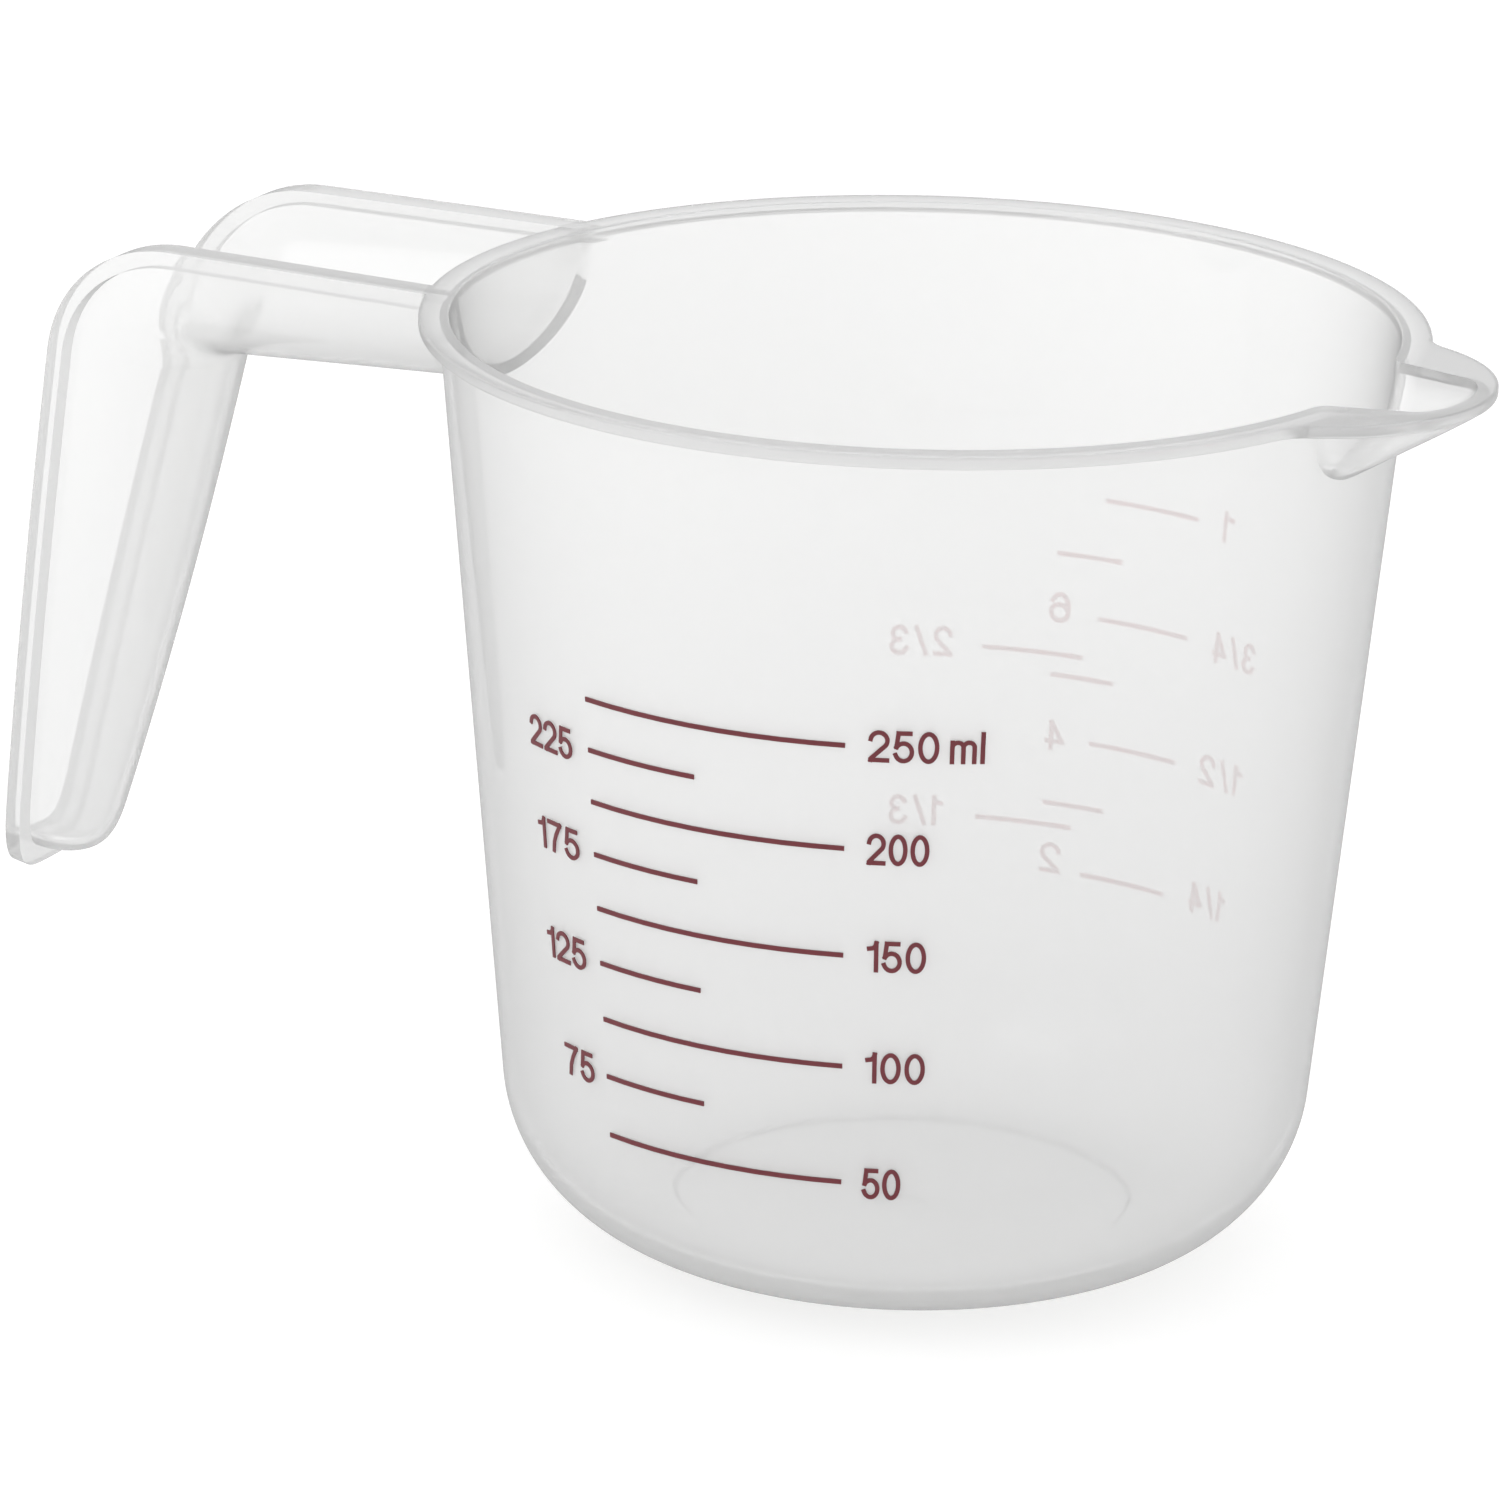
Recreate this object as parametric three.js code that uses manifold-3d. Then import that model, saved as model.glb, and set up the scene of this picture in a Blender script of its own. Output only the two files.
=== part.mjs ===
// A moulded measuring cup: a round bowl with a pouring spout, a hollow open-backed handle and two printed
// scales. Millimetres, +Z up. The origin is on the cup's axis in the plane that it stands on, and the spout
// points along +X.
import * as THREE from "three";
import { mergeVertices } from "three/addons/utils/BufferGeometryUtils.js";
import Module from "manifold-3d";

const wasm = await Module();
wasm.setup();

// Bowl
const RIM_HEIGHT = 87.2; // standing face to the top of the rim
const RIM_RADIUS = 46.1; // outer edge of the rim's flange
const RIM_FLANGE = 1.8; // how far the flange stands out from the wall
const RIM_THICKNESS = 1.2;
const RIM_EDGE = 0.45; // rounding of the flange's lower edge
const RIM_TOP_EDGE = 0.25;
const WALL = 1.0;
const DRAFT = THREE.MathUtils.degToRad(5.24); // slope of the wall, wider at the top
const HEEL_WIDTH = 16.6; // the rounding between wall and base, measured outwards
const HEEL_HEIGHT = 16.0; // and upwards
const FLOOR_THICKNESS = 2.2;
const FLOOR_RADIUS = 22.8; // flat part of the inner floor

// Spout: a flat lip with a round outer edge, level with the rim, round a hollow that narrows outwards
const SPOUT_OVERHANG = 8.7; // rim edge to the lip's tip
const SPOUT_LIP_RADIUS = 16.8; // of the lip's outer edge, seen from above
const SPOUT_WALL = 1.0;
const SPOUT_DEPTH = 8.0; // rim to the keel's foot, at the bowl's wall
const KEEL_SLOPE = 0.62; // rise of the keel for each millimetre outwards
const SPOUT_SQUARENESS = 3; // of its section: 2 is half an ellipse, and more has steeper sides
const SCOOP_ROOT = 0.75; // how deep the scoop's sides end inside the lip, as a share of its thickness
const HOLLOW_SETBACK = 1.6; // lip's tip to the hollow's tip
const HOLLOW_END = 3.5; // length of the hollow's round end
const HOLLOW_HALF_WIDTH = 8.1; // at the bowl's wall
const HOLLOW_TAPER = 0.27; // half width lost for each millimetre outwards
const HOLLOW_FLARE = 3.0; // half width gained where the bowl's wall turns into the spout
const FLARE_START = 0.8; // from the wall's outer face inwards
const FLARE_LENGTH = 2.1;

// Handle, seen from the side: the grip's back runs level from the rim, round a bend and down a leaning leg
const GRIP_CORNER_REACH = 36.6; // rim edge to the point where the level back and the leg's back would meet
const GRIP_BEND_RADIUS = 14.3;
const GRIP_LEAN = THREE.MathUtils.degToRad(11.5); // leg from the vertical, outwards going down
const GRIP_DROP = 66.9; // rim plane to the leg's tip
const GRIP_BOW = 1.4; // how far the leg's tip curves back towards the cup
const THROAT_REACH = 26.2; // rim edge to the corner between the channel's underside and the leg's inner side
const THROAT_DROP = 12.8; // rim plane to that corner
const THROAT_RADIUS = 2.0;
const CHANNEL_DEPTH_AT_RIM = 10.8;
const CHANNEL_DEPTH_AT_TIP = 8.7;
const KEEL_BOW = 3.2; // how far the channel's underside curves back towards the flange at the tip
const GRIP_HALF_WIDTH_AT_RIM = 15.9;
const GRIP_HALF_WIDTH_AT_BEND = 14.75;
const GRIP_HALF_WIDTH_AT_TIP = 6.3; // where the taper would end without the round end
const GRIP_ROUND_END = 10; // length of the round end
const GRIP_END_SQUARENESS = 4; // of the round end: 2 is half an ellipse, and more is blunter
const GRIP_FLANGE_THICKNESS = 1.6;
const GRIP_LIP = 1.9; // how far the flange stands out from the channel's wall
const CHANNEL_WALL = 1.2;
const CHANNEL_ROOT = 0.9; // how deep its sides end inside the flange, as a share of that thickness

// Printed scales: a line stands for the volume below it, so its height follows from the inside of the wall
const INK_THICKNESS = 0.12;
const INK_CLEARANCE = 0.06; // between the wall and the ink's inner face
const LINE_WIDTH = 0.45;
const METRIC_FIRST_VOLUME = 50; // ml
const METRIC_FIRST_HEIGHT = 17.4;
const METRIC_STEP = 25;
const METRIC_COUNT = 9;
const METRIC_START = -109; // degrees round the cup from the spout, where all the metric lines start
const METRIC_LONG = 36; // degrees that a long line spans
const METRIC_SHORT = 16.5;
const FLUID_OUNCE = 29.5735; // ml
const OUNCES_IN_CUP = 8;
const CUP_FIRST_OUNCES = 2;
const CUP_FIRST_HEIGHT = 22.7;

const SEAM = 0.3; // between the bowl and what is joined to it
const BORE_EXCESS = 6; // how far a cutting solid runs past what it cuts
const BOWL_SIDES = 64;
const HEEL_STEPS = 10;
const EDGE_STEPS = 3;
const STRETCH_STEPS = 8; // along a straight or gently curved stretch
const BEND_STEPS = 9;
const SECTION_STEPS = 14; // across a hollow
const PLATE_STEPS = 2; // across a flat
const INK_STEP = 4; // degrees
const END_BLUNTNESS = 0.12; // smallest width of a round end's last section, as a share of its full width

const QUARTER = Math.PI / 2;
const share = (steps) => Array.from({ length: steps + 1 }, (_, i) => i / steps);

// Solids

// A manifold solid from a three.js geometry whose faces close.
function solid(geometry) {
  const skin = geometry.clone();
  skin.deleteAttribute("normal");
  skin.deleteAttribute("uv");
  const merged = mergeVertices(skin, 1e-4);
  return new wasm.Manifold(
    new wasm.Mesh({
      numProp: 3,
      vertProperties: merged.attributes.position.array,
      triVerts: new Uint32Array(merged.index.array),
    }),
  );
}

// A bar bent and swollen by a rule: place(along, across, through) gives the point for three shares.
function formedBar(alongSteps, acrossSteps, place) {
  const bar = new THREE.BoxGeometry(1, 1, 1, alongSteps, acrossSteps, 1).translate(0.5, 0.5, 0.5);
  const at = bar.attributes.position;
  for (let i = 0; i < at.count; i++) {
    const point = place(at.getX(i), at.getY(i), at.getZ(i));
    at.setXYZ(i, point.x, point.y, point.z);
  }
  return solid(bar);
}

// A profile of radius and height turned round the cup's axis.
function turned(profile) {
  return solid(new THREE.LatheGeometry(profile, BOWL_SIDES).rotateX(QUARTER));
}

function named(name, shape, material) {
  const cut = shape.getMesh();
  const geometry = new THREE.BufferGeometry()
    .setAttribute("position", new THREE.BufferAttribute(new Float32Array(cut.vertProperties), 3))
    .setIndex(new THREE.BufferAttribute(new Uint32Array(cut.triVerts), 1));
  geometry.computeVertexNormals();
  const mesh = new THREE.Mesh(geometry, material);
  mesh.name = name;
  return mesh;
}

// Bowl

const wallRadius = (z) => RIM_RADIUS - RIM_FLANGE - (RIM_HEIGHT - z) * Math.tan(DRAFT);

// The rounding from a flat of a given height up to the wall, as an upright quarter ellipse that meets the
// wall's slope. inset is how far this surface lies inside the wall's outer one.
function heel(flatHeight, width, height, inset) {
  const meet = -Math.atan((height / width) * Math.tan(DRAFT));
  const centreZ = flatHeight + height;
  const centreR = wallRadius(centreZ + height * Math.sin(meet)) - inset - width * Math.cos(meet);
  return share(HEEL_STEPS).map((t) => {
    const angle = THREE.MathUtils.lerp(-QUARTER, meet, t);
    return new THREE.Vector2(centreR + width * Math.cos(angle), centreZ + height * Math.sin(angle));
  });
}

// Points of an arc from one angle to another, for the flange's edge.
function arc(x, z, radius, from, to) {
  return share(EDGE_STEPS).map((t) => {
    const angle = THREE.MathUtils.lerp(from, to, t);
    return new THREE.Vector2(x + radius * Math.cos(angle), z + radius * Math.sin(angle));
  });
}

function bowlBody() {
  const under = RIM_HEIGHT - RIM_THICKNESS;
  const innerHeelHeight = HEEL_HEIGHT - FLOOR_THICKNESS;
  const innerHeelWidth = wallRadius(HEEL_HEIGHT) - WALL - FLOOR_RADIUS;
  const profile = [
    new THREE.Vector2(0, 0),
    ...heel(0, HEEL_WIDTH, HEEL_HEIGHT, 0),
    new THREE.Vector2(wallRadius(under), under),
    ...arc(RIM_RADIUS - RIM_EDGE, under + RIM_EDGE, RIM_EDGE, -QUARTER, 0),
    ...arc(RIM_RADIUS - RIM_TOP_EDGE, RIM_HEIGHT - RIM_TOP_EDGE, RIM_TOP_EDGE, 0, QUARTER),
    new THREE.Vector2(wallRadius(RIM_HEIGHT) - WALL, RIM_HEIGHT),
    ...heel(FLOOR_THICKNESS, innerHeelWidth, innerHeelHeight, WALL).reverse(),
    new THREE.Vector2(0, FLOOR_THICKNESS),
  ];
  return turned(profile);
}

// The space round the bowl's outside that the spout and the handle keep clear of.
function bowlClearance() {
  const under = RIM_HEIGHT - RIM_THICKNESS - SEAM;
  const top = RIM_HEIGHT + BORE_EXCESS;
  const profile = [
    new THREE.Vector2(0, 0),
    new THREE.Vector2(wallRadius(0) + SEAM, 0),
    new THREE.Vector2(wallRadius(under) + SEAM, under),
    new THREE.Vector2(RIM_RADIUS + SEAM, under),
    new THREE.Vector2(RIM_RADIUS + SEAM, top),
    new THREE.Vector2(0, top),
  ];
  return turned(profile);
}

// Spout

const spoutStart = wallRadius(RIM_HEIGHT) - WALL - BORE_EXCESS;
const lipTip = RIM_RADIUS + SPOUT_OVERHANG;
const lipCentre = lipTip - SPOUT_LIP_RADIUS;
const flareStart = wallRadius(RIM_HEIGHT) - FLARE_START;

// Stations of the lip from inside the bowl to its tip: x is the distance from the cup's axis, half the half
// width there.
function lipStations() {
  return [
    { x: spoutStart, half: SPOUT_LIP_RADIUS },
    ...share(BEND_STEPS + STRETCH_STEPS).map((t) => {
      const angle = QUARTER * (1 - t * (1 - END_BLUNTNESS / 2));
      return { x: lipCentre + SPOUT_LIP_RADIUS * Math.cos(angle), half: SPOUT_LIP_RADIUS * Math.sin(angle) };
    }),
  ];
}

// Stations of the hollow, or of a surface that lies outset millimetres outside it.
function hollowStations(outset) {
  const straightEnd = lipTip - HOLLOW_SETBACK - HOLLOW_END;
  const halfAt = (x) => {
    const flare = THREE.MathUtils.clamp((flareStart - x) / FLARE_LENGTH, 0, 1);
    const tapered = HOLLOW_HALF_WIDTH - (x - wallRadius(RIM_HEIGHT)) * HOLLOW_TAPER;
    return tapered + HOLLOW_FLARE * flare ** 2 + outset;
  };
  const places = [
    spoutStart,
    ...share(EDGE_STEPS).map((t) => flareStart - FLARE_LENGTH * (1 - t)),
    ...share(STRETCH_STEPS / 2).slice(1).map((t) => THREE.MathUtils.lerp(flareStart, straightEnd, t)),
  ];
  const end = share(STRETCH_STEPS).slice(1).map((t) => {
    const angle = t * QUARTER;
    return {
      x: straightEnd + (HOLLOW_END + outset) * Math.sin(angle),
      half: halfAt(straightEnd) * Math.max(Math.cos(angle), END_BLUNTNESS),
    };
  });
  return [...places.map((x) => ({ x, half: halfAt(x) })), ...end];
}

// Height of the keel's underside.
const keelHeight = (x) => {
  const foot = wallRadius(RIM_HEIGHT - SPOUT_DEPTH);
  return RIM_HEIGHT - SPOUT_DEPTH + Math.max(0, x - foot) * KEEL_SLOPE;
};

// One formed bar of the spout, from its stations, the height of its flat top and a rule for its underside.
function spoutBar(stations, acrossSteps, top, underside) {
  const last = stations.length - 1;
  return formedBar(last, acrossSteps, (along, across, through) => {
    const station = stations[Math.round(along * last)];
    const angle = (across - 0.5) * Math.PI;
    const side = -Math.sign(angle) * Math.abs(Math.sin(angle)) ** (2 / SPOUT_SQUARENESS);
    const hang = Math.cos(angle) ** (2 / SPOUT_SQUARENESS);
    const z = THREE.MathUtils.lerp(top, underside(station.x, hang), through);
    return new THREE.Vector3(station.x, station.half * side, z);
  });
}

function spoutLip() {
  return spoutBar(lipStations(), PLATE_STEPS, RIM_HEIGHT, () => RIM_HEIGHT - RIM_THICKNESS);
}

function spoutScoop() {
  // The scoop's sides end inside the lip, between these heights.
  const rootTop = RIM_HEIGHT - RIM_THICKNESS / 2;
  const rootBottom = RIM_HEIGHT - RIM_THICKNESS * SCOOP_ROOT;
  return spoutBar(hollowStations(SPOUT_WALL), SECTION_STEPS, rootTop, (x, hang) => {
    return THREE.MathUtils.lerp(rootBottom, keelHeight(x), hang);
  });
}

// What flows out: the hollow of the spout, open at the top and through the bowl's wall.
function spoutHollow() {
  return spoutBar(hollowStations(0), SECTION_STEPS, RIM_HEIGHT + BORE_EXCESS, (x, hang) => {
    return THREE.MathUtils.lerp(RIM_HEIGHT, keelHeight(x) + SPOUT_WALL, hang);
  });
}

// Handle, laid out in the upright plane through the cup's axis: x outwards is negative, and y is the height

// Three curves: a level stretch, a bend and a leg.
function rail(start, corner, end, radius, bow) {
  const back = start.clone().sub(corner).normalize();
  const on = end.clone().sub(corner).normalize();
  const half = Math.acos(back.dot(on)) / 2;
  const setback = radius / Math.tan(half);
  const bendStart = corner.clone().addScaledVector(back, setback);
  const bendEnd = corner.clone().addScaledVector(on, setback);
  const middle = back.clone().add(on).normalize();
  const centre = corner.clone().addScaledVector(middle, radius / Math.sin(half));
  const from = bendStart.clone().sub(centre).angle();
  const to = bendEnd.clone().sub(centre).angle();
  const inwards = new THREE.Vector2(-on.y, on.x);
  return {
    level: new THREE.LineCurve(start, bendStart),
    bend: new THREE.EllipseCurve(centre.x, centre.y, radius, radius, from, to, false),
    leg: new THREE.QuadraticBezierCurve(
      bendEnd,
      bendEnd.clone().lerp(end, 0.5),
      end.clone().addScaledVector(inwards, bow),
    ),
  };
}

const gripStartX = -(wallRadius(RIM_HEIGHT) - BORE_EXCESS);
const gripCorner = new THREE.Vector2(-(RIM_RADIUS + GRIP_CORNER_REACH), RIM_HEIGHT);
const legDirection = new THREE.Vector2(-Math.sin(GRIP_LEAN), -Math.cos(GRIP_LEAN));
const gripTip = gripCorner.clone().addScaledVector(legDirection, GRIP_DROP / Math.cos(GRIP_LEAN));
const towardsCup = new THREE.Vector2(-legDirection.y, legDirection.x);
const gripBack = rail(
  new THREE.Vector2(gripStartX, RIM_HEIGHT),
  gripCorner,
  gripTip,
  GRIP_BEND_RADIUS,
  GRIP_BOW,
);
const gripKeel = rail(
  new THREE.Vector2(gripStartX, RIM_HEIGHT - CHANNEL_DEPTH_AT_RIM),
  new THREE.Vector2(-(RIM_RADIUS + THROAT_REACH), RIM_HEIGHT - THROAT_DROP),
  gripTip.clone().addScaledVector(towardsCup, CHANNEL_DEPTH_AT_TIP + KEEL_BOW),
  THROAT_RADIUS,
  -KEEL_BOW,
);
const levelLength = gripBack.level.getLength();
const bendLength = gripBack.bend.getLength();
const legLength = gripBack.leg.getLength();
const taperStart = levelLength + bendLength / 2;
const gripLength = levelLength + bendLength + legLength;

function gripHalfWidth(distance) {
  const { lerp } = THREE.MathUtils;
  if (distance < taperStart) {
    return lerp(GRIP_HALF_WIDTH_AT_RIM, GRIP_HALF_WIDTH_AT_BEND, distance / taperStart);
  }
  const down = (distance - taperStart) / (gripLength - taperStart);
  return lerp(GRIP_HALF_WIDTH_AT_BEND, GRIP_HALF_WIDTH_AT_TIP, down);
}

// Stations along the handle. inset is how far this surface lies inside the flange's outer edge.
function gripStations(inset) {
  const roundStart = 1 - GRIP_ROUND_END / legLength;
  const roundEnd = 1 - inset / legLength;
  const power = 2 / GRIP_END_SQUARENESS;
  const station = (stretch, t, distance, round) => {
    const back = gripBack[stretch].getPoint(t);
    const keel = gripKeel[stretch].getPoint(t).sub(back);
    const half = (gripHalfWidth(distance) - inset) * round;
    return { back, depth: keel.length(), inwards: keel.normalize(), half, round };
  };
  const onLeg = (t, round) => station("leg", t, levelLength + bendLength + t * legLength, round);
  return [
    ...share(STRETCH_STEPS / 2).map((t) => station("level", t, t * levelLength, 1)),
    ...share(BEND_STEPS).slice(1).map((t) => station("bend", t, levelLength + t * bendLength, 1)),
    ...share(STRETCH_STEPS).slice(1).map((t) => onLeg(t * roundStart, 1)),
    ...share(STRETCH_STEPS).slice(1).map((step) => {
      const turn = step * (1 - END_BLUNTNESS / 2) * QUARTER;
      const place = THREE.MathUtils.lerp(roundStart, roundEnd, Math.sin(turn) ** power);
      return onLeg(place, Math.cos(turn) ** power);
    }),
  ];
}

// One formed bar of the handle. top and bottom give its faces' depths below the back.
function gripBar(inset, acrossSteps, top, bottom) {
  const stations = gripStations(inset);
  const last = stations.length - 1;
  return formedBar(last, acrossSteps, (along, across, through) => {
    const station = stations[Math.round(along * last)];
    const angle = (across - 0.5) * Math.PI;
    const deep = THREE.MathUtils.lerp(top, bottom(station, Math.cos(angle)), through);
    const at = station.back.clone().addScaledVector(station.inwards, deep);
    return new THREE.Vector3(at.x, station.half * Math.sin(angle), at.y);
  });
}

function gripFlange() {
  return gripBar(0, PLATE_STEPS, 0, () => GRIP_FLANGE_THICKNESS);
}

function gripChannel() {
  // The channel's sides end inside the flange, between these depths.
  const rootTop = GRIP_FLANGE_THICKNESS / 2;
  const rootBottom = GRIP_FLANGE_THICKNESS * CHANNEL_ROOT;
  return gripBar(GRIP_LIP, SECTION_STEPS, rootTop, (s, hang) => {
    return rootBottom + Math.max(s.depth * s.round - rootBottom, 0) * hang;
  });
}

function gripTrough() {
  return gripBar(GRIP_LIP + CHANNEL_WALL, SECTION_STEPS, -BORE_EXCESS / 2, (s, hang) => {
    return (s.depth - CHANNEL_WALL) * s.round * hang;
  });
}

// Printed lines

const innerRadius = (z) => wallRadius(z) - WALL;

// Height of the surface when a volume in ml is added above a first height.
function heightAbove(firstHeight, added) {
  const slope = Math.tan(DRAFT);
  const cubicMillimetres = added * 1000;
  const radius = Math.cbrt((3 * slope * cubicMillimetres) / Math.PI + innerRadius(firstHeight) ** 3);
  return firstHeight + (radius - innerRadius(firstHeight)) / slope;
}

// A thin curved strip on the wall, from one angle to another in degrees.
function inkLine(height, from, to) {
  return formedBar(Math.ceil((to - from) / INK_STEP), 1, (along, up, out) => {
    const angle = THREE.MathUtils.degToRad(THREE.MathUtils.lerp(from, to, along));
    const z = height + (up - 0.5) * LINE_WIDTH;
    const radius = wallRadius(z) + INK_CLEARANCE + out * INK_THICKNESS;
    return new THREE.Vector3(radius * Math.cos(angle), radius * Math.sin(angle), z);
  });
}

function metricLines(material) {
  return Array.from({ length: METRIC_COUNT }, (_, i) => {
    const volume = METRIC_FIRST_VOLUME + i * METRIC_STEP;
    const span = volume % METRIC_FIRST_VOLUME ? METRIC_SHORT : METRIC_LONG;
    const height = heightAbove(METRIC_FIRST_HEIGHT, volume - METRIC_FIRST_VOLUME);
    return named(`line_${volume}_ml`, inkLine(height, METRIC_START, METRIC_START + span), material);
  });
}

// Each line of the cup scale: its name, its part of a cup, and the angles of its ends in degrees.
const CUP_LINES = [
  ["line_quarter_cup", 1 / 4, 75, 89.5],
  ["line_third_cup", 1 / 3, 91.5, 106],
  ["line_3_oz", 3 / OUNCES_IN_CUP, 86.5, 96],
  ["line_half_cup", 1 / 2, 75, 89.5],
  ["line_5_oz", 5 / OUNCES_IN_CUP, 86.5, 96],
  ["line_two_thirds_cup", 2 / 3, 91.5, 106],
  ["line_three_quarter_cup", 3 / 4, 75, 89.5],
  ["line_7_oz", 7 / OUNCES_IN_CUP, 86.5, 96],
  ["line_1_cup", 1, 75, 89.5],
];

function cupLines(material) {
  return CUP_LINES.map(([name, part, from, to]) => {
    const ounces = part * OUNCES_IN_CUP;
    const height = heightAbove(CUP_FIRST_HEIGHT, (ounces - CUP_FIRST_OUNCES) * FLUID_OUNCE);
    return named(name, inkLine(height, from, to), material);
  });
}

// Assembly

const moulding = () => new THREE.MeshStandardMaterial({ color: 0xeef0ea, roughness: 0.35, metalness: 0 });
const ink = () => new THREE.MeshStandardMaterial({ color: 0x8c1c2c, roughness: 0.55, metalness: 0 });

const clearance = bowlClearance();
const hollow = spoutHollow();

const cup = new THREE.Group();
cup.add(
  named("bowl", bowlBody().subtract(hollow), moulding()),
  named("spout", spoutLip().add(spoutScoop()).subtract(hollow).subtract(clearance), moulding()),
  named("handle", gripFlange().add(gripChannel()).subtract(gripTrough()).subtract(clearance), moulding()),
  ...metricLines(ink()),
  ...cupLines(ink()),
);

export default cup;
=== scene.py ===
"""Looks of a translucent measuring cup: the moulding, its printed scales, a pale floor and the camera."""
import math

import bmesh
import bpy
import numpy as np
from mathutils import Matrix, Vector


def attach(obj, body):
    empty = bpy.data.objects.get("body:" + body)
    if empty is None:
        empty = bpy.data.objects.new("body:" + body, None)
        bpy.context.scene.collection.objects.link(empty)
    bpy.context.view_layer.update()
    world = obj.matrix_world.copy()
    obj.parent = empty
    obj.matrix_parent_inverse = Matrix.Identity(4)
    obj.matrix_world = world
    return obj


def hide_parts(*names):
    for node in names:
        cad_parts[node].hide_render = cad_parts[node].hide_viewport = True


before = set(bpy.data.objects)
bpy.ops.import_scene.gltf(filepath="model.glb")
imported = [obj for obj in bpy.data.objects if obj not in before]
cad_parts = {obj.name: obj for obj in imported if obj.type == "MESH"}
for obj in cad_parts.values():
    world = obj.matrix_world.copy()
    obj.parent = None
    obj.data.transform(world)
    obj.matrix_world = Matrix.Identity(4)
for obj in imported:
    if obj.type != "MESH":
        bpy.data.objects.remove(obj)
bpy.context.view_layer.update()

# Sizes in millimetres, as in the CAD source, and angles in radians
RIM_HEIGHT, RIM_RADIUS, RIM_FLANGE, RIM_THICKNESS = 87.2, 46.1, 1.8, 1.2
RIM_EDGE, RIM_TOP_EDGE = 0.45, 0.25
WALL, DRAFT = 1.0, math.radians(5.24)
HEEL_WIDTH, HEEL_HEIGHT = 16.6, 16.0
FLOOR_THICKNESS, FLOOR_RADIUS = 2.2, 22.8
FLOOR_STEP, FLOOR_STEP_MARGIN = 0.5, 1.0  # the middle of the inner floor lies a little below its edge
GATE_RADIUS, GATE_DEPTH = 2.2, 0.35  # dimple left by the mould's gate, under the base

SPOUT_OVERHANG, SPOUT_LIP_RADIUS, SPOUT_WALL = 8.7, 16.8, 1.0
SPOUT_DEPTH, KEEL_SLOPE, SPOUT_SQUARENESS = 8.0, 0.62, 3
HOLLOW_SETBACK, HOLLOW_END, HOLLOW_HALF_WIDTH, HOLLOW_TAPER = 1.6, 3.5, 8.1, 0.27
HOLLOW_FLARE, FLARE_START, FLARE_LENGTH = 3.0, 0.8, 2.1
SCOOP_ROOT = 0.75  # share of the rim's thickness at which the scoop starts
LIP_FILLET = 4.0  # rounding between the rim's edge and the lip's, seen from above
LIP_SINK = 0.01  # how far the lip's side starts inside the rim's edge, so that the two never just touch

GRIP_CORNER_REACH, GRIP_BEND_RADIUS, GRIP_LEAN = 36.6, 14.3, math.radians(11.5)
GRIP_DROP, GRIP_BOW = 66.9, 1.4
THROAT_REACH, THROAT_DROP, THROAT_RADIUS = 26.2, 12.8, 2.0
CHANNEL_DEPTH_AT_RIM, CHANNEL_DEPTH_AT_TIP, KEEL_BOW = 10.8, 8.7, 3.2
GRIP_HALF_WIDTH_AT_RIM, GRIP_HALF_WIDTH_AT_BEND, GRIP_HALF_WIDTH_AT_TIP = 15.9, 14.75, 6.3
GRIP_ROUND_END, GRIP_END_SQUARENESS = 10.0, 4.0
GRIP_FLANGE_THICKNESS, GRIP_LIP, CHANNEL_WALL = 1.6, 1.9, 1.2
CHANNEL_ROOT = 0.9  # share of the flange's thickness at which the channel starts

CUT = 6.0  # how far a cutting solid runs past what it cuts
WALL_MARGIN = 0.2  # left free between the straight wall's points and what it meets
TOUCHING = 0.002  # points nearer than this are merged
QUARTER = math.pi / 2
MM = 0.001

# Steps of the meshes
SIDES = 256  # round the cup
SECTION_STEPS = 40  # across the spout and the handle
WALL_STEPS, HEEL_STEPS, EDGE_STEPS = 40, 36, 5
LIP_STEPS, FILLET_STEPS = 96, 12
FLARE_STEPS, HOLLOW_STEPS, HOLLOW_END_STEPS = 12, 16, 20
LEVEL_STEPS, BEND_STEPS, LEG_STEPS, GRIP_END_STEPS = 12, 32, 28, 28
LENGTH_STEPS = 100  # for measuring a stretch of the handle
HOLLOW_LAST_WIDTH = 0.03  # share of the hollow's width at which its end closes
GRIP_LAST_TURN = 0.985  # share of a quarter turn at which the handle's round end closes
SMOOTH_BELOW = math.radians(28)  # sharper edges stay sharp


# Mesh building


def link(thing):
    bpy.context.scene.collection.objects.link(thing)
    return thing


def mesh_object(name, points, faces):
    """An object of points in millimetres, with its faces turned outwards."""
    mesh = bpy.data.meshes.new(name)
    mesh.from_pydata([tuple(float(c) * MM for c in p) for p in points], [], faces)
    volume = sum(
        mesh.vertices[f.vertices[0]].co.dot(
            mesh.vertices[f.vertices[i]].co.cross(mesh.vertices[f.vertices[i + 1]].co)
        )
        for f in mesh.polygons
        for i in range(1, len(f.vertices) - 1)
    )
    if volume < 0:
        mesh.flip_normals()
    return link(bpy.data.objects.new(name, mesh))


def band_faces(rows, around):
    """Faces between neighbouring rows of equally many points, each row closed round."""
    return [
        (low + i, low + (i + 1) % around, low + around + (i + 1) % around, low + around + i)
        for low in range(0, (rows - 1) * around, around)
        for i in range(around)
    ]


def bar(name, loops):
    """A closed skin over a row of loops of equally many points, with flat ends."""
    rows, around = len(loops), len(loops[0])
    points = [p for loop in loops for p in loop]
    faces = band_faces(rows, around)
    faces.append(tuple(range(around))[::-1])
    faces.append(tuple(range((rows - 1) * around, rows * around)))
    return mesh_object(name, points, faces)


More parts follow.
